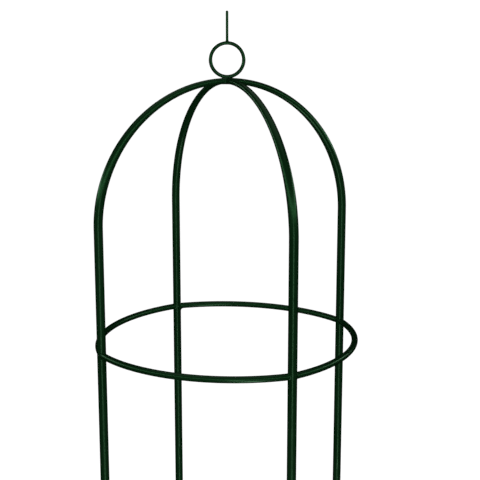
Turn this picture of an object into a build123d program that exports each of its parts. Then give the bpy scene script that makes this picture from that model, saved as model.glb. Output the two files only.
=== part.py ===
"""Garden obelisk: a round plant frame of coated steel tube, with a domed top, rings and a wire finial.

Millimetres. The origin is on the ground at the middle of the frame, +Z is up and -Y is the front. The
four legs stand on the diagonals, so the open sides face +X, -X, +Y and -Y.
"""

import math
import os

from build123d import *

# Frame
LEG_CIRCLE_R = 200.0  # the legs' centrelines stand on this circle, and it is the radius of the dome
TUBE_OD = 13.0
TUBE_WALL = 1.0
CROWN_Z = 1795.0  # centreline of the arches at the top
LOWER_JOINT_Z = 580.0  # the lower legs plug into the middle legs here
UPPER_JOINT_Z = 1160.0  # the middle legs plug into the arches here
NECK_LENGTH = 40.0  # swaged neck inside the tube above
NECK_CLEARANCE = 0.05  # radial
CROWN_GAP = 2.0  # the half arches stop this far from the middle of the crown

# Rings, each of four hoops between neighbouring legs
RING_Z = {"lower": 472.0, "middle": 942.0, "upper": 1412.0}
HOOP_OD = 9.5
HOOP_WALL = 1.0
HOOP_RISE = 49.5  # how far a hoop bows out from the straight line between its two legs
PEG_LENGTH = 20.0
PEG_CLEARANCE = 0.05  # radial

# Finial: a wire circle that stands on the crown, with a thin spike on top of it
FINIAL_R = 24.0
FINIAL_WIRE = 5.2
FINIAL_SEAT = 0.9  # how deep the circle is let into the crown
FINIAL_TURN = 20.0  # degrees between the circle and the front
SPIKE_OD = 4.0
SPIKE_LENGTH = 43.0
SPIKE_TIP = 1.8  # rounding of the spike's end

# Foot plugs
PLUG_HEAD = 5.0
PLUG_HEAD_OD = 15.0
PLUG_STEM = 20.0
PLUG_CLEARANCE = 0.05  # radial
PLUG_EDGE = 1.5

LEG_ANGLES = {"front_left": 225.0, "front_right": 315.0, "back_right": 45.0, "back_left": 135.0}
SIDE_ANGLES = {"front": 270.0, "right": 0.0, "back": 90.0, "left": 180.0}

# Worked out from the above
TUBE_R = TUBE_OD / 2
BORE_R = TUBE_R - TUBE_WALL
NECK_R = BORE_R - NECK_CLEARANCE
NECK_BORE_R = NECK_R - TUBE_WALL
SPRING_Z = CROWN_Z - LEG_CIRCLE_R  # the straight legs end and the dome begins here
ARCH_FOOT_LENGTH = SPRING_Z - UPPER_JOINT_Z
HALF_ARCH_ARC = 90 - math.degrees(CROWN_GAP / LEG_CIRCLE_R)
HALF_CHORD = LEG_CIRCLE_R * math.sin(math.radians(45))
HOOP_BEND_R = (HALF_CHORD**2 + HOOP_RISE**2) / (2 * HOOP_RISE)
HOOP_HALF_ARC = math.degrees(math.asin(HALF_CHORD / HOOP_BEND_R))
HOOP_CENTRE_R = HALF_CHORD + HOOP_RISE - HOOP_BEND_R
HOOP_R = HOOP_OD / 2
HOOP_BORE_R = HOOP_R - HOOP_WALL
PEG_ARC = math.degrees((TUBE_R + PEG_LENGTH) / HOOP_BEND_R)
FINIAL_Z = CROWN_Z + TUBE_R - FINIAL_SEAT + FINIAL_WIRE / 2 + FINIAL_R

os.makedirs("parts", exist_ok=True)


def polar(radius, degrees, height):
    """The point at this radius, direction and height."""
    turn = math.radians(degrees)
    return Vector(radius * math.cos(turn), radius * math.sin(turn), height)


def save(piece, name):
    """Names a finished piece and writes its file."""
    piece.part.label = name
    export_step(piece.part, f"parts/{name}.step")


def tube_section(plane, outer_r, bore_r):
    """The ring-shaped cross-section of a tube, to extrude or revolve."""
    with BuildSketch(plane) as section:
        Circle(outer_r)
        Circle(bore_r, mode=Mode.SUBTRACT)
    return section.sketch


def arch_axis(degrees):
    """The level axis that the arch over this leg is bent about."""
    return Axis((0, 0, SPRING_Z), polar(1, degrees - 90, 0))


def hoop_plane(side, degrees, height):
    """The plane across a hoop, at a direction seen from the centre of its bend."""
    origin = polar(HOOP_CENTRE_R, side, height) + polar(HOOP_BEND_R, degrees, 0)
    return Plane(origin=origin, x_dir=(0, 0, 1), z_dir=polar(1, degrees + 90, 0))


def hoop_axis(side, height):
    """The upright axis that the hoop on this side is bent about."""
    return Axis(polar(HOOP_CENTRE_R, side, height), (0, 0, 1))


# Outlines that other pieces are cut to: the legs, the bend of the whole arch, and the finial's circle
with BuildPart() as leg_outlines:
    for angle in LEG_ANGLES.values():
        with BuildSketch(Plane(origin=polar(LEG_CIRCLE_R, angle, 0))):
            Circle(TUBE_R)
        extrude(amount=SPRING_Z)

with BuildPart() as arch_outline:
    with BuildSketch(Plane(origin=polar(LEG_CIRCLE_R, LEG_ANGLES["back_left"], SPRING_Z))):
        Circle(TUBE_R)
    revolve(axis=arch_axis(LEG_ANGLES["back_left"]), revolution_arc=180)

circle_foot = Plane(origin=(0, 0, FINIAL_Z - FINIAL_R), x_dir=(0, 0, 1), z_dir=polar(1, FINIAL_TURN, 0))
with BuildPart() as finial_ring:
    with BuildSketch(circle_foot):
        Circle(FINIAL_WIRE / 2)
    revolve(axis=Axis((0, 0, FINIAL_Z), polar(1, FINIAL_TURN - 90, 0)))
save(finial_ring, "finial_ring")

# Spike, seated on the top of the circle
with BuildPart() as finial_spike:
    with BuildSketch(Plane.XY.offset(FINIAL_Z + FINIAL_R)):
        Circle(SPIKE_OD / 2)
    extrude(amount=FINIAL_WIRE / 2 + SPIKE_LENGTH)
    fillet(finial_spike.edges().group_by(Axis.Z)[-1], SPIKE_TIP)
    add(finial_ring.part, mode=Mode.SUBTRACT)
save(finial_spike, "finial_spike")

# Dome: one whole arch, and two half arches welded against its sides at the crown
with BuildPart() as cross_arch:
    for corner in ("back_left", "front_right"):
        foot = Plane(origin=polar(LEG_CIRCLE_R, LEG_ANGLES[corner], UPPER_JOINT_Z))
        extrude(tube_section(foot, TUBE_R, BORE_R), amount=ARCH_FOOT_LENGTH)
    spring = Plane(origin=polar(LEG_CIRCLE_R, LEG_ANGLES["back_left"], SPRING_Z))
    revolve(tube_section(spring, TUBE_R, BORE_R), axis=arch_axis(LEG_ANGLES["back_left"]), revolution_arc=180)
    add(finial_ring.part, mode=Mode.SUBTRACT)
save(cross_arch, "cross_arch")

for corner in ("front_left", "back_right"):
    angle = LEG_ANGLES[corner]
    with BuildPart() as half_arch:
        foot = Plane(origin=polar(LEG_CIRCLE_R, angle, UPPER_JOINT_Z))
        extrude(tube_section(foot, TUBE_R, BORE_R), amount=ARCH_FOOT_LENGTH)
        spring = Plane(origin=polar(LEG_CIRCLE_R, angle, SPRING_Z))
        revolve(tube_section(spring, TUBE_R, BORE_R), axis=arch_axis(angle), revolution_arc=HALF_ARCH_ARC)
        add(arch_outline.part, mode=Mode.SUBTRACT)
        add(finial_ring.part, mode=Mode.SUBTRACT)
    save(half_arch, f"half_arch_{corner}")

# Legs: two sections at each corner, each with a swaged neck that fits inside the tube above
LEG_SPANS = {"lower": (PLUG_HEAD, LOWER_JOINT_Z), "middle": (LOWER_JOINT_Z, UPPER_JOINT_Z)}
for level, (base_z, shoulder_z) in LEG_SPANS.items():
    for corner, angle in LEG_ANGLES.items():
        with BuildPart() as leg:
            base = Plane(origin=polar(LEG_CIRCLE_R, angle, base_z))
            shoulder = base.offset(shoulder_z - base_z)
            extrude(tube_section(base, TUBE_R, BORE_R), amount=shoulder_z - TUBE_WALL - base_z)
            extrude(tube_section(shoulder, TUBE_R, NECK_BORE_R), amount=-TUBE_WALL)
            extrude(tube_section(shoulder, NECK_R, NECK_BORE_R), amount=NECK_LENGTH)
        save(leg, f"{level}_leg_{corner}")

# Foot plugs: a flat head under the tube and a stem inside it
for corner, angle in LEG_ANGLES.items():
    with BuildPart() as plug:
        with BuildSketch(Plane(origin=polar(LEG_CIRCLE_R, angle, 0))):
            Circle(PLUG_HEAD_OD / 2)
        extrude(amount=PLUG_HEAD)
        chamfer(plug.edges().group_by(Axis.Z)[0], PLUG_EDGE)
        with BuildSketch(Plane(origin=polar(LEG_CIRCLE_R, angle, PLUG_HEAD))):
            Circle(BORE_R - PLUG_CLEARANCE)
        extrude(amount=PLUG_STEM)
    save(plug, f"foot_plug_{corner}")

# Rings: four hoops each, whose ends are coped to the legs and slide over pegs welded on them
for level, ring_z in RING_Z.items():
    for side_name, side in SIDE_ANGLES.items():
        with BuildPart() as hoop:
            section = tube_section(hoop_plane(side, side - HOOP_HALF_ARC, ring_z), HOOP_R, HOOP_BORE_R)
            revolve(section, axis=hoop_axis(side, ring_z), revolution_arc=2 * HOOP_HALF_ARC)
            add(leg_outlines.part, mode=Mode.SUBTRACT)
        save(hoop, f"{level}_hoop_{side_name}")
    with BuildPart() as pegs:
        for side in SIDE_ANGLES.values():
            for first in (side - HOOP_HALF_ARC, side + HOOP_HALF_ARC - PEG_ARC):
                with BuildSketch(hoop_plane(side, first, ring_z)):
                    Circle(HOOP_BORE_R - PEG_CLEARANCE)
                revolve(axis=hoop_axis(side, ring_z), revolution_arc=PEG_ARC)
        add(leg_outlines.part, mode=Mode.SUBTRACT)
    save(pegs, f"{level}_ring_pegs")
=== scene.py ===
"""Garden obelisk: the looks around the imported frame. Metres, in the frame's own axes."""

import math
import random

import bmesh
import bpy
from mathutils import Euler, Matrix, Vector


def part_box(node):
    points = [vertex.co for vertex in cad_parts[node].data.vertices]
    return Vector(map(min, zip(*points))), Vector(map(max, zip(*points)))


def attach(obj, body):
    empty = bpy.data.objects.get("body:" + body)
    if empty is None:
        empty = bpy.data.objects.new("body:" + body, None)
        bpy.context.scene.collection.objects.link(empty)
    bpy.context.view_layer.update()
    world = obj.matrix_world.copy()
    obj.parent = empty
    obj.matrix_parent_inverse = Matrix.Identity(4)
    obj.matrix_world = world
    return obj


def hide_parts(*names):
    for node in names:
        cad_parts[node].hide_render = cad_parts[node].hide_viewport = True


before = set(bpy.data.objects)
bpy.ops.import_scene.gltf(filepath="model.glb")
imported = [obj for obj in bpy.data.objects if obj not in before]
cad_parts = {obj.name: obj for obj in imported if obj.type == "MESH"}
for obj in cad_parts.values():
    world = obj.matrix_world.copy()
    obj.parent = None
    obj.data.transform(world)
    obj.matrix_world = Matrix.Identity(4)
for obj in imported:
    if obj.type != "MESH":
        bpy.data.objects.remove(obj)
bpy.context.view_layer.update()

random.seed(7)

# Sizes read off the frame
LEG_CORNERS = {"front_left": 225.0, "front_right": 315.0, "back_right": 45.0, "back_left": 135.0}
SIDES = {"front": 270.0, "right": 0.0, "back": 90.0, "left": 180.0}
LEVELS = ("upper", "middle", "lower")
leg_low, leg_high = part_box("middle_leg_front_left")
TUBE_R = (leg_high.x - leg_low.x) / 2
LEG_CIRCLE_R = math.hypot(leg_low.x + leg_high.x, leg_low.y + leg_high.y) / 2
LOWER_JOINT_Z = leg_low.z
UPPER_JOINT_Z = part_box("cross_arch")[0].z
NECK_LENGTH = leg_high.z - UPPER_JOINT_Z
CROWN_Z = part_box("cross_arch")[1].z - TUBE_R
SPRING_Z = CROWN_Z - LEG_CIRCLE_R
FOOT_TOP_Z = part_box("lower_leg_front_left")[0].z
hoop_low, hoop_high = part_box("upper_hoop_front")
HOOP_R = (hoop_high.z - hoop_low.z) / 2
HOOP_MIDDLE_R = -hoop_low.y - HOOP_R
circle_low, circle_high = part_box("finial_ring")
FINIAL_Z = (circle_low.z + circle_high.z) / 2
FINIAL_OUTER_R = (circle_high.z - circle_low.z) / 2
spike_low, spike_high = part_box("finial_spike")
SPIKE_R = (spike_high.x - spike_low.x) / 2
SPIKE_TOP_Z = spike_high.z
plug_low, plug_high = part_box("foot_plug_front_left")
PLUG_R = (plug_high.x - plug_low.x) / 2

# Sizes that a box doesn't give
WALL = 0.001
CLEARANCE = 0.00005  # radial, of the necks and the foot plugs in the tubes
BORE_R = TUBE_R - WALL
NECK_R = BORE_R - CLEARANCE
WIRE_R = 0.0026  # of the finial's circle
FINIAL_TURN = 20.0  # degrees between the circle and the front
CROWN_TUBE_R = 0.0044  # the arches are drawn down towards the crown, with their upper edge kept level
DRAW_DOWN_ARC = 80.0  # degrees of bend over which they are
EDGE = 0.00035  # rounding that the coating gives to a cut end
FIRST_RING = 0.02  # from a tube's rounded end to the first cross-section of its plain length
SWAGE_TAPER = 0.004  # length over which a leg's bore narrows into its neck
COPE_MARGIN = 0.001  # from a leg's surface to a hoop's last full cross-section, before it is coped

HALF_CHORD = LEG_CIRCLE_R * math.sin(math.radians(45))
HOOP_RISE = HOOP_MIDDLE_R - HALF_CHORD
HOOP_BEND_R = (HALF_CHORD**2 + HOOP_RISE**2) / (2 * HOOP_RISE)
HOOP_HALF_ARC = math.degrees(math.asin(HALF_CHORD / HOOP_BEND_R))
HOOP_CENTRE_R = HOOP_MIDDLE_R - HOOP_BEND_R
FINIAL_R = FINIAL_OUTER_R - WIRE_R
CROWN_CENTRE_Z = CROWN_Z + TUBE_R - CROWN_TUBE_R  # of the drawn-down tubes

EAST = Vector((1, 0, 0))
NORTH = Vector((0, 1, 0))
UP = Vector((0, 0, 1))


def polar(radius, degrees, height=0.0):
    """The point at this radius, direction and height."""
    turn = math.radians(degrees)
    return Vector((radius * math.cos(turn), radius * math.sin(turn), height))


# Mesh making


def round_loop(centre, across, up, radius, sides):
    """One round cross-section: points about a centre."""
    turns = [2 * math.pi * i / sides for i in range(sides)]
    return [centre + (across * math.cos(t) + up * math.sin(t)) * radius for t in turns]


def object_from(name, bm):
    """Turns a bmesh into a smooth-shaded object."""
    bmesh.ops.recalc_face_normals(bm, faces=bm.faces)
    mesh = bpy.data.meshes.new(name)
    bm.to_mesh(mesh)
    bm.free()
    mesh.shade_smooth()
    mesh.set_sharp_from_angle(angle=math.radians(40))
    obj = bpy.data.objects.new(name, mesh)
    bpy.context.collection.objects.link(obj)
    return obj


def skin(bm, loops, joined):
    """Faces between neighbouring loops. joined also closes the last loop to the first."""
    rows = [[bm.verts.new(p) for p in loop] for loop in loops]
    pairs = list(zip(rows, rows[1:]))
    if joined:
        pairs.append((rows[-1], rows[0]))
    for a, b in pairs:
        for i in range(len(a)):
            j = (i + 1) % len(a)
            bm.faces.new((a[i], a[j], b[j], b[i]))
    return rows


def rod(bm, loops):
    """A solid skin over loops, closed at both ends."""
    rows = skin(bm, loops, joined=False)
    bm.faces.new(rows[0])
    bm.faces.new(rows[-1])


def lathe(name, angle, profile, sides=56):
    """A closed outline of (radius, height) points turned about a leg's centreline."""
    loops = []
    for radius, height in profile:
        loops.append(round_loop(polar(LEG_CIRCLE_R, angle, height), EAST, NORTH, radius, sides))
    bm = bmesh.new()
    skin(bm, loops, joined=True)
    return object_from(name, bm)


def tube(name, path, normal, radius_at, trim, sides=56):
    """A hollow tube along a path in one plane. trim reshapes the ends of its outer and inner skins."""
    last = len(path) - 1
    skins = []
    for inward in (0.0, WALL):
        loops = []
        for i, point in enumerate(path):
            ahead = (path[min(i + 1, last)] - path[max(i - 1, 0)]).normalized()
            loops.append(round_loop(point, normal, ahead.cross(normal), radius_at(i) - inward, sides))
        trim(loops)
        skins.append(loops)
    bm = bmesh.new()
    skin(bm, skins[0] + skins[1][::-1], joined=True)
    return object_from(name, bm)


def finished(obj, material, slot, *nodes):
    """Gives a piece its material and its body, and hides the CAD nodes it stands for. The slot argument is
    not used.
    """
    obj.data.materials.append(material)
    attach(obj, "root")
    if nodes:
        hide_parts(*nodes)


def steps(first, last, count):
    """Evenly spaced numbers from first to last."""
    return [first + (last - first) * i / count for i in range(count + 1)]


# Materials

COATING_DARK = (0.0008, 0.0082, 0.0018)
COATING_LIGHT = (0.0013, 0.0113, 0.0026)
COATING_MOTTLE = (0.0010, 0.0097, 0.0022)
COATING_SCUFF = (0.020, 0.034, 0.022)
COATING_SHEEN = (0.36, 1.0, 0.47, 1)  # tints what the coating reflects
SOIL = (0.026, 0.022, 0.016)
SOIL_TOP_Z = 0.11
PLASTIC_BLACK = (0.010, 0.011, 0.010)
PLASTIC_DUST = (0.030, 0.029, 0.026)
ZINC_DARK = (0.46, 0.47, 0.48)
ZINC_LIGHT = (0.62, 0.63, 0.64)


class Surface:
    """A node material in the making: its shader, and patterns laid out in the object's own space."""

    def __init__(self, name):
        self.material = bpy.data.materials.new(name)
        self.material.use_nodes = True
        self.nodes = self.material.node_tree.nodes
        self.links = self.material.node_tree.links
        self.nodes.clear()
        out = self.nodes.new("ShaderNodeOutputMaterial")
        self.shader = self.nodes.new("ShaderNodeBsdfPrincipled")
        self.links.new(self.shader.outputs["BSDF"], out.inputs["Surface"])
        self.where = self.nodes.new("ShaderNodeTexCoord").outputs["Object"]

    def drive(self, socket, value):
        """Feeds a pattern to one of the shader's sockets."""
        self.links.new(value, self.shader.inputs[socket])

    def hold(self, socket, value):
        """Sets one of the shader's sockets to one value all over."""
        self.shader.inputs[socket].default_value = value

    def noise(self, scale, detail=3.0, roughness=0.5, stretch=(1, 1, 1)):
        """A cloudy pattern between 0 and 1."""
        mapping = self.nodes.new("ShaderNodeMapping")
        mapping.inputs["Scale"].default_value = stretch
        self.links.new(self.where, mapping.inputs["Vector"])
        tex = self.nodes.new("ShaderNodeTexNoise")
        tex.inputs["Scale"].default_value = scale
        tex.inputs["Detail"].default_value = detail
        tex.inputs["Roughness"].default_value = roughness
        self.links.new(mapping.outputs["Vector"], tex.inputs["Vector"])
        return tex.outputs["Fac"]

    def spread(self, value, low, high, to_low=0.0, to_high=1.0):
        """A value's range stretched onto another, and kept inside it."""
        node = self.nodes.new("ShaderNodeMapRange")
        node.inputs["From Min"].default_value = low
        node.inputs["From Max"].default_value = high
        node.inputs["To Min"].default_value = to_low
        node.inputs["To Max"].default_value = to_high
        self.links.new(value, node.inputs["Value"])
        return node.outputs["Result"]

    def product(self, first, second):
        """Two patterns multiplied."""
        node = self.nodes.new("ShaderNodeMath")
        node.operation = "MULTIPLY"
        self.links.new(first, node.inputs[0])
        self.links.new(second, node.inputs[1])
        return node.outputs["Value"]

    def mix(self, factor, first, second):
        """Two colours mixed by a factor. Each is a colour or another node's output."""
        node = self.nodes.new("ShaderNodeMix")
        node.data_type = "RGBA"
        self.links.new(factor, node.inputs["Factor"])
        for socket, colour in ((node.inputs["A"], first), (node.inputs["B"], second)):
            if isinstance(colour, tuple):
                socket.default_value = (*colour, 1)
            else:
                self.links.new(colour, socket)
        return node.outputs["Result"]

    def bump(self, height, strength, distance, under=None):
        """A bump from a height, laid over another bump where one is given."""
        node = self.nodes.new("ShaderNodeBump")
        node.inputs["Strength"].default_value = strength
        node.inputs["Distance"].default_value = distance
        self.links.new(height, node.inputs["Height"])
        if under is not None:
            self.links.new(under, node.inputs["Normal"])
        return node.outputs["Normal"]


def soil_splash(surface):
    """How much dried soil clings at each height: patchy at the feet, gone a hand's width up."""
    split = surface.nodes.new("ShaderNodeSeparateXYZ")
    surface.links.new(surface.where, split.inputs["Vector"])
    height = surface.spread(split.outputs["Z"], SOIL_TOP_Z, 0.0)
    patches = surface.spread(surface.noise(260.0, detail=5.0, roughness=0.65), 0.42, 0.72)
    return surface.product(height, patches)


def green_coating():
    """Very dark green satin plastic coating on steel: slightly uneven, with fine orange peel and scuffs."""
    coat = Surface("dark_green_coating")
    cloud = coat.spread(coat.noise(9.0, detail=4.0), 0.35, 0.65)
    mottle = coat.spread(coat.noise(120.0), 0.35, 0.7)
    scuffs = coat.spread(coat.noise(900.0, detail=2.0, roughness=0.7), 0.72, 0.78)
    colour = coat.mix(cloud, COATING_DARK, COATING_LIGHT)
    colour = coat.mix(mottle, colour, COATING_MOTTLE)
    colour = coat.mix(scuffs, colour, COATING_SCUFF)
    colour = coat.mix(soil_splash(coat), colour, SOIL)
    coat.drive("Base Color", colour)
    coat.drive("Roughness", coat.spread(cloud, 0.0, 1.0, to_low=0.25, to_high=0.31))
    coat.hold("Specular IOR Level", 0.28)
    coat.hold("Specular Tint", COATING_SHEEN)
    peel = coat.noise(520.0, detail=2.0)
    waves = coat.noise(60.0, detail=2.0, stretch=(1, 1, 0.25))
    uneven = coat.bump(waves, strength=0.18, distance=0.0006)
    coat.drive("Normal", coat.bump(peel, strength=0.09, distance=0.00025, under=uneven))
    return coat.material


def foot_plastic():
    """Near-black moulded plastic, fine-grained and dusty."""
    plastic = Surface("black_foot_plastic")
    grain = plastic.noise(1400.0, detail=2.0)
    dust = plastic.spread(plastic.noise(160.0, detail=4.0), 0.45, 0.75)
    plastic.drive("Base Color", plastic.mix(dust, PLASTIC_BLACK, PLASTIC_DUST))
    plastic.drive("Roughness", plastic.spread(dust, 0.0, 1.0, to_low=0.5, to_high=0.72))
    plastic.hold("Specular IOR Level", 0.35)
    plastic.drive("Normal", plastic.bump(grain, strength=0.35, distance=0.0001))
    return plastic.material


def bare_steel():
    """Zinc-coated steel of the pegs inside the hoop ends."""
    steel = Surface("zinc_steel")
    spangle = steel.spread(steel.noise(420.0), 0.35, 0.65)
    steel.drive("Base Color", steel.mix(spangle, ZINC_DARK, ZINC_LIGHT))
    steel.drive("Roughness", steel.spread(spangle, 0.0, 1.0, to_low=0.3, to_high=0.45))
    steel.hold("Metallic", 1.0)
    steel.drive("Normal", steel.bump(spangle, strength=0.2, distance=0.0001))
    return steel.material


GREEN = green_coating()
PLASTIC = foot_plastic()
STEEL = bare_steel()


# Arches. A place on the dome is given by its bend: 0 and 180 degrees are the legs, and 90 the crown.

HALF_ARCH_BEND = 89.0  # where a half arch's last full cross-section is, before it is coped


def arch_radius(bend):
    """The tube's radius at a place on the dome."""
    from_upright = min(bend, 180.0 - bend)
    along = max(0.0, (from_upright - (90.0 - DRAW_DOWN_ARC)) / DRAW_DOWN_ARC)
    eased = along * along * (3 - 2 * along)
    return TUBE_R + (CROWN_TUBE_R - TUBE_R) * eased


def arch_point(angle, bend):
    """A point of an arch's centreline over the dome. The tube's outer edge stays on one circle."""
    turn = math.radians(bend)
    reach = LEG_CIRCLE_R + TUBE_R - arch_radius(bend)
    return polar(reach * math.cos(turn), angle, SPRING_Z + reach * math.sin(turn))


def arch_path(angle, last_bend):
    """Points and bends of an arch from its foot at this angle, up over the dome as far as last_bend."""
    points, bends = [], []
    heights = [UPPER_JOINT_Z, UPPER_JOINT_Z + EDGE / 3, UPPER_JOINT_Z + EDGE]
    heights += steps(UPPER_JOINT_Z + FIRST_RING, SPRING_Z, 12)[:-1]
    for height in heights:
        points.append(polar(LEG_CIRCLE_R, angle, height))
        bends.append(0.0)
    for bend in steps(0.0, last_bend, round(last_bend)):
        points.append(arch_point(angle, bend))
        bends.append(bend)
    if last_bend == 180.0:
        for height in heights[::-1]:
            points.append(polar(LEG_CIRCLE_R, angle + 180, height))
            bends.append(180.0)
    return points, bends


def softened_end(loops, ends):
    """Rounds the cut ends of a tube's outer skin a little. ends holds 0, -1 or both."""
    for end in ends:
        for offset, shrink in ((0, EDGE), (1, EDGE / 3)):
            loop = loops[offset if end == 0 else -1 - offset]
            centre = sum(loop, Vector()) / len(loop)
            radius = (loop[0] - centre).length
            for i, point in enumerate(loop):
                loop[i] = centre + (point - centre) * ((radius - shrink) / radius)


def make_arch(node, angle, whole):
    """The whole arch, or a half arch coped to the side of it."""
    points, bends = arch_path(angle, 180.0 if whole else HALF_ARCH_BEND)
    normal = polar(1, angle + 90)
    inward = -polar(1, angle)

    def trim(loops):
        outer = (loops[0][0] - points[0]).length > TUBE_R - WALL / 2
        if outer:
            softened_end(loops, (0, -1) if whole else (0,))
        if not whole:
            # Slides the last cross-section's points along the arch, onto the side of the whole arch's tube
            for i, point in enumerate(loops[-1]):
                drop = min(abs(point.z - CROWN_CENTRE_Z), CROWN_TUBE_R)
                short = math.sqrt(CROWN_TUBE_R**2 - drop**2) + point.dot(inward)
                loops[-1][i] = point - inward * short

    obj = tube(f"{node}_coated", points, normal, lambda i: arch_radius(bends[i]), trim)
    finished(obj, GREEN, "green_coat", node)


make_arch("cross_arch", LEG_CORNERS["back_left"], whole=True)
make_arch("half_arch_front_left", LEG_CORNERS["front_left"], whole=False)
make_arch("half_arch_back_right", LEG_CORNERS["back_right"], whole=False)


# Legs and feet

RIM_BULGE = 0.0018  # rounding of the foot flange's rim
RIM_MIDDLE_Z = 0.0026
RIM_HALF_HEIGHT = 0.0024
FLAT_R = PLUG_R - 0.0022  # the flange is flat underneath as far as this
CORE_R = PLUG_R * 0.2  # radius of the small hole up the middle of a plug
RIB_DEPTH = 0.0004
RIB_HALF_HEIGHT = 0.0008
RIB_MARGIN = 0.002
RIB_GAPS = 6


def leg_profile(base_z, shoulder_z):
    """A leg section's outline: softened foot, shoulder, tapered neck and bore."""
    neck_bore = NECK_R - WALL
    top = shoulder_z + NECK_LENGTH
    return [
        (BORE_R, base_z),
        (TUBE_R - EDGE, base_z),
        (TUBE_R - EDGE / 3, base_z + EDGE / 3),
        (TUBE_R, base_z + EDGE),
        *[(TUBE_R, z) for z in steps(base_z + FIRST_RING, shoulder_z - FIRST_RING, 12)],
        (TUBE_R, shoulder_z - EDGE),
        (TUBE_R - EDGE / 3, shoulder_z - EDGE / 3),
        (TUBE_R - EDGE, shoulder_z),
        (NECK_R, shoulder_z + EDGE / 2),
        (NECK_R, top - EDGE),
        (NECK_R - EDGE, top),
        (neck_bore, top),
        (neck_bore, shoulder_z),
        (BORE_R, shoulder_z - SWAGE_TAPER),
    ]


def foot_profile():
    """A foot plug's outline: a round-edged flange with a flat underside, and a ribbed stem in the tube."""
    stem = BORE_R - CLEARANCE
    valley = stem - RIB_DEPTH
    flange = [(CORE_R, 0.0), (FLAT_R, 0.0)]
    for turn in steps(-75.0, 60.0, 7):
        out = RIM_BULGE * math.cos(math.radians(turn))
        up = RIM_HALF_HEIGHT * math.sin(math.radians(turn))
        flange.append((PLUG_R - RIM_BULGE + out, RIM_MIDDLE_Z + up))
    ribs = []
    for z in steps(FOOT_TOP_Z + RIB_MARGIN, plug_high.z - RIB_MARGIN, RIB_GAPS):
        ribs += [(valley, z - RIB_HALF_HEIGHT), (stem, z), (valley, z + RIB_HALF_HEIGHT)]
    return flange + [(TUBE_R - EDGE, FOOT_TOP_Z), (stem, FOOT_TOP_Z)] + ribs + [(CORE_R, plug_high.z)]


for corner, angle in LEG_CORNERS.items():
    for level, base_z, shoulder_z in (
        ("lower", FOOT_TOP_Z, LOWER_JOINT_Z),
        ("middle", LOWER_JOINT_Z, UPPER_JOINT_Z),
    ):
        leg = lathe(f"{level}_leg_{corner}_coated", angle, leg_profile(base_z, shoulder_z))
        finished(leg, GREEN, "green_coat", f"{level}_leg_{corner}")
    plug = lathe(f"foot_plug_{corner}_moulded", angle, foot_profile())
    finished(plug, PLASTIC, "foot_plastic", f"foot_plug_{corner}")


# Rings

COPE_BEND = math.degrees((TUBE_R + COPE_MARGIN) / HOOP_BEND_R)
BEAD_ABOVE = (0.0008, 0.0013)  # least and most coating in the corner over a hoop's end
BEAD_BELOW = (0.0010, 0.0020)
SAGGED_JOINT = ("upper", "back", 1)  # coating ran down and set in the corner under this hoop's end
SAGGED_BEAD = 0.0048
BEAD_OVERLAP = 0.00002  # how far a bead's edges sink into the tubes
BEAD_SIDES = 48
BEAD_ROWS = 9


def hoop_point(side, bend, height):
    """A point of a hoop's centreline, at a direction seen from the centre of its bend."""
    return polar(HOOP_CENTRE_R, side, height) + polar(HOOP_BEND_R, bend)


def slid_to_leg(point, away, leg_centre, reach):
    """Where a line through the point, level and along away, meets an upright cylinder about a leg."""
    offset = Vector((point.x - leg_centre.x, point.y - leg_centre.y, 0))
    along = offset.dot(away)
    across = offset - away * along
    return point + away * (math.sqrt(max(reach**2 - across.length_squared, 0.0)) - along)


def make_hoop(level, side_name, side):
    """One quarter hoop, whose ends are coped to the legs. Returns the height of its centreline."""
    node = f"{level}_hoop_{side_name}"
    low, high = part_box(node)
    height = (low.z + high.z) / 2
    bends = steps(side - HOOP_HALF_ARC + COPE_BEND, side + HOOP_HALF_ARC - COPE_BEND, 64)
    points = [hoop_point(side, bend, height) for bend in bends]

    def trim(loops):
        for end, leg_angle, turn in ((0, side - 45, 90), (-1, side + 45, -90)):
            away = polar(1, bends[end] + turn)
            leg_centre = polar(LEG_CIRCLE_R, leg_angle, height)
            loops[end] = [slid_to_leg(p, away, leg_centre, TUBE_R) for p in loops[end]]

    hoop = tube(f"{node}_coated", points, UP, lambda i: HOOP_R, trim, sides=48)
    finished(hoop, GREEN, "green_coat", node)
    return height


def add_bead(bm, side, end, height, above, below):
    """A concave bead of coating round a hoop's end, from the leg's surface onto the hoop's.

    end is -1 or 1, for the hoop's first or last end. above and below are the bead's sizes there.
    """
    leg_centre = polar(LEG_CIRCLE_R, side + 45 * end, height)
    bend = side + (HOOP_HALF_ARC - COPE_BEND) * end
    away = polar(1, bend - 90 * end)
    across = UP.cross(away)
    origin = hoop_point(side, bend, height)
    rows = [[] for _ in range(BEAD_ROWS)]
    for i in range(BEAD_SIDES):
        t = 2 * math.pi * i / BEAD_SIDES
        out = across * math.cos(t) + UP * math.sin(t)
        size = above + (below - above) * (0.5 - 0.5 * math.sin(t))
        corner = slid_to_leg(origin + out * HOOP_R, away, leg_centre, TUBE_R)
        on_leg = slid_to_leg(origin + out * (HOOP_R + size), away, leg_centre, TUBE_R - BEAD_OVERLAP)
        on_hoop = corner + away * size - out * BEAD_OVERLAP
        for j, row in enumerate(rows):
            s = j / (BEAD_ROWS - 1)
            row.append(on_leg * (1 - s) ** 2 + corner * 2 * s * (1 - s) + on_hoop * s**2)
    skin(bm, rows, joined=False)


for level in LEVELS:
    beads = bmesh.new()
    for side_name, side in SIDES.items():
        height = make_hoop(level, side_name, side)
        for end in (-1, 1):
            above = random.uniform(*BEAD_ABOVE)
            sagged = (level, side_name, end) == SAGGED_JOINT
            below = SAGGED_BEAD if sagged else random.uniform(*BEAD_BELOW)
            add_bead(beads, side, end, height, above, below)
    finished(object_from(f"{level}_ring_beads", beads), GREEN, "green_coat")
    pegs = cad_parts[f"{level}_ring_pegs"].data
    pegs.materials.clear()
    pegs.materials.append(STEEL)


# Finial

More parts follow.
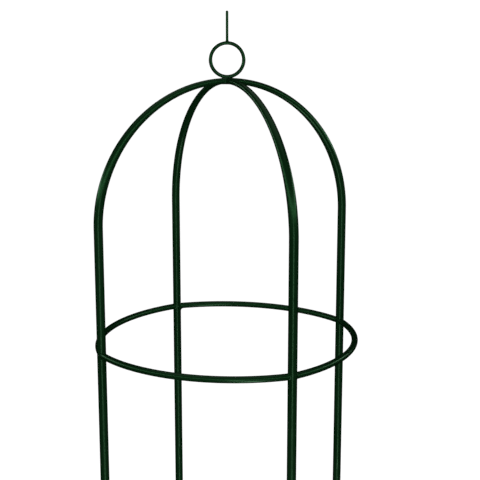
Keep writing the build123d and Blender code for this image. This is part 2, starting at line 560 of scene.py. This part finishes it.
SPIKE_FLARE = 0.0009  # how far the bead at the spike's foot stands out
SPIKE_FLARE_HEIGHT = 0.0022
CIRCLE_SIDES = 144
WELD_REACH = 10.0  # degrees of bend that the crown's weld spans to each side
WELD_SPREAD = 4.5  # degrees over which the weld stands proud
WELD_RISE = 0.0006
WELD_CIRCLE_REACH = 24.0  # degrees of the circle, to each side of its foot, that the weld takes in
WELD_DEPTH = 0.00005  # how far the weld lies under the tubes where it doesn't stand proud
WELD_GRAIN = 0.0005
WELD_PASSES = 30


def circle_loop(degrees, radius, sides):
    """A cross-section of the circle's wire, at an angle from its side: its foot is at -90 degrees."""
    turn = math.radians(degrees)
    facing = polar(1, FINIAL_TURN - 90)
    out = polar(math.cos(turn), FINIAL_TURN, math.sin(turn))
    return round_loop(Vector((0, 0, FINIAL_Z)) + out * FINIAL_R, out, facing, radius, sides)


def make_circle():
    """The wire circle."""
    turns = [360.0 * i / CIRCLE_SIDES for i in range(CIRCLE_SIDES)]
    bm = bmesh.new()
    skin(bm, [circle_loop(turn, WIRE_R, 32) for turn in turns], joined=True)
    finished(object_from("finial_ring_coated", bm), GREEN, "green_coat", "finial_ring")


def make_spike():
    """The spike, with a flared bead at its foot and a rounded tip."""
    base = FINIAL_Z + FINIAL_R
    profile = [(SPIKE_R * 0.6, base), (SPIKE_R + SPIKE_FLARE, base + WIRE_R * 0.62)]
    for s in steps(0.2, 1.0, 4):
        profile.append((SPIKE_R + SPIKE_FLARE * (1 - s) ** 2, base + WIRE_R * 0.8 + SPIKE_FLARE_HEIGHT * s))
    profile += [(SPIKE_R, z) for z in steps(base + 0.008, SPIKE_TOP_Z - SPIKE_R - 0.001, 8)]
    for turn in steps(8.0, 88.0, 8):
        dome = math.radians(turn)
        profile.append((SPIKE_R * math.cos(dome), SPIKE_TOP_Z - SPIKE_R + SPIKE_R * math.sin(dome)))
    bm = bmesh.new()
    rod(bm, [round_loop(UP * z, EAST, NORTH, r, 40) for r, z in profile])
    finished(object_from("finial_spike_coated", bm), GREEN, "green_coat", "finial_spike")


def welded(name, bm):
    """Melts overlapping closed shapes into one skin and lets it flow into their corners."""
    raw = object_from("raw_weld", bm)
    remesh = raw.modifiers.new("melt", "REMESH")
    remesh.mode = "VOXEL"
    remesh.voxel_size = WELD_GRAIN
    flow = raw.modifiers.new("flow", "SMOOTH")
    flow.factor = 0.5
    flow.iterations = WELD_PASSES
    graph = bpy.context.evaluated_depsgraph_get()
    mesh = bpy.data.meshes.new_from_object(raw.evaluated_get(graph))
    mesh.name = name
    mesh.shade_smooth()
    bpy.data.objects.remove(raw)
    obj = bpy.data.objects.new(name, mesh)
    bpy.context.collection.objects.link(obj)
    return obj


def make_crown_weld():
    """Weld metal in the corners where the arches and the foot of the finial's circle meet."""
    bm = bmesh.new()
    for corner in ("back_left", "front_left"):
        angle = LEG_CORNERS[corner]
        normal = polar(1, angle + 90)
        loops = []
        for bend in steps(90.0 - WELD_REACH, 90.0 + WELD_REACH, 24):
            turn = math.radians(bend)
            out = polar(math.cos(turn), angle, math.sin(turn))
            rise = WELD_RISE * max(0.0, 1 - ((bend - 90.0) / WELD_SPREAD) ** 2) ** 2
            radius = arch_radius(bend) - WELD_DEPTH + rise
            loops.append(round_loop(arch_point(angle, bend), normal, out, radius, 40))
        rod(bm, loops)
    turns = steps(-90.0 - WELD_CIRCLE_REACH, -90.0 + WELD_CIRCLE_REACH, 20)
    rod(bm, [circle_loop(turn, WIRE_R - WELD_DEPTH, 28) for turn in turns])
    finished(welded("crown_weld", bm), GREEN, "green_coat")


make_circle()
make_spike()
make_crown_weld()


# Studio

CAMERA_AZIMUTH = 19.43  # degrees round from the front
CAMERA_DISTANCE = 1.400  # from the object's axis
CAMERA_ABOVE_CROWN = 0.0460
CAMERA_PITCH = 10.40  # degrees that it looks down
CAMERA_YAW = 0.76  # degrees that it looks past the axis
CAMERA_LENS = 71.7  # millimetres
CAMERA_SHIFT = -0.03
PAPER_LIGHT = (0.90, 0.90, 0.90)
PAPER_DARK = (0.88, 0.88, 0.88)
FLOOR_REACHES = (0.01, 0.5, 1.0, 2.0, 5.0, 20.0, 200.0)
BAND_COLOUR = (0.62, 1.0, 0.72, 1)
AIR_STRENGTH = 1.15


def make_camera():
    """The camera, just above the crown and looking down a little."""
    data = bpy.data.cameras.new("camera")
    data.lens = CAMERA_LENS
    data.sensor_width = 36.0
    data.shift_y = CAMERA_SHIFT
    cam = bpy.data.objects.new("camera", data)
    cam.location = polar(CAMERA_DISTANCE, CAMERA_AZIMUTH - 90, CROWN_Z + CAMERA_ABOVE_CROWN)
    cam.rotation_euler = Euler(
        (math.radians(90 - CAMERA_PITCH), 0, math.radians(CAMERA_AZIMUTH - CAMERA_YAW)), "XYZ"
    )
    bpy.context.collection.objects.link(cam)
    bpy.context.scene.camera = cam


def make_floor():
    """A round pale floor of matt paper, large enough to fade into the studio air."""
    paper = Surface("pale_paper")
    cloud = paper.spread(paper.noise(1.5, detail=2.0), 0.3, 0.7)
    paper.drive("Base Color", paper.mix(cloud, PAPER_LIGHT, PAPER_DARK))
    paper.hold("Roughness", 0.9)
    paper.hold("Specular IOR Level", 0.0)
    bm = bmesh.new()
    skin(bm, [round_loop(Vector(), EAST, NORTH, r, 96) for r in FLOOR_REACHES], joined=False)
    floor = object_from("floor", bm)
    floor.data.materials.append(paper.material)
    floor.visible_glossy = False


def make_light(name, azimuth, distance, height, size, watts, tilt=0.0):
    """A soft rectangular light that faces the object's axis. tilt turns it down, or up if negative."""
    data = bpy.data.lights.new(name, "AREA")
    data.shape = "RECTANGLE"
    data.size, data.size_y = size
    data.energy = watts
    light = bpy.data.objects.new(name, data)
    light.location = polar(distance, azimuth - 90, height)
    light.rotation_euler = Euler((math.radians(90 - tilt), 0, math.radians(azimuth)), "XYZ")
    light.visible_camera = False
    bpy.context.collection.objects.link(light)


def make_light_band(radius, bottom, top, half_turn, strength):
    """A band of light round the front and sides, which only reflections see."""
    mat = bpy.data.materials.new("light_band")
    mat.use_nodes = True
    nodes, links = mat.node_tree.nodes, mat.node_tree.links
    nodes.clear()
    out = nodes.new("ShaderNodeOutputMaterial")
    glow = nodes.new("ShaderNodeEmission")
    glow.inputs["Strength"].default_value = strength
    glow.inputs["Color"].default_value = BAND_COLOUR
    links.new(glow.outputs["Emission"], out.inputs["Surface"])
    bm = bmesh.new()
    turns = steps(CAMERA_AZIMUTH - 90 - half_turn, CAMERA_AZIMUTH - 90 + half_turn, 48)
    pairs = [[bm.verts.new(polar(radius, turn, z)) for z in (bottom, top)] for turn in turns]
    for a, b in zip(pairs, pairs[1:]):
        bm.faces.new((a[0], b[0], b[1], a[1]))
    band = object_from("light_band", bm)
    band.data.materials.append(mat)
    band.visible_camera = False
    band.visible_diffuse = False
    band.visible_shadow = False


make_camera()
make_floor()
make_light_band(radius=3.0, bottom=2.05, top=2.45, half_turn=125.0, strength=4.6)
make_light("front_strip", CAMERA_AZIMUTH, distance=3.0, height=0.8, size=(0.45, 1.6), watts=14.5)
make_light(
    "floor_strip", CAMERA_AZIMUTH + 14.0, distance=1.35, height=0.2, size=(0.3, 1.5), watts=10.5, tilt=-80.0
)
make_light("overhead_softbox", 0.0, distance=0.0, height=4.5, size=(4.0, 4.0), watts=26.0, tilt=90.0)

world = bpy.data.worlds.new("studio_air")
world.use_nodes = True
air = world.node_tree.nodes["Background"]
air.inputs["Color"].default_value = (1, 1, 1, 1)
air.inputs["Strength"].default_value = AIR_STRENGTH
world.cycles_visibility.glossy = False
bpy.context.scene.world = world
bpy.context.scene.view_settings.view_transform = "Standard"

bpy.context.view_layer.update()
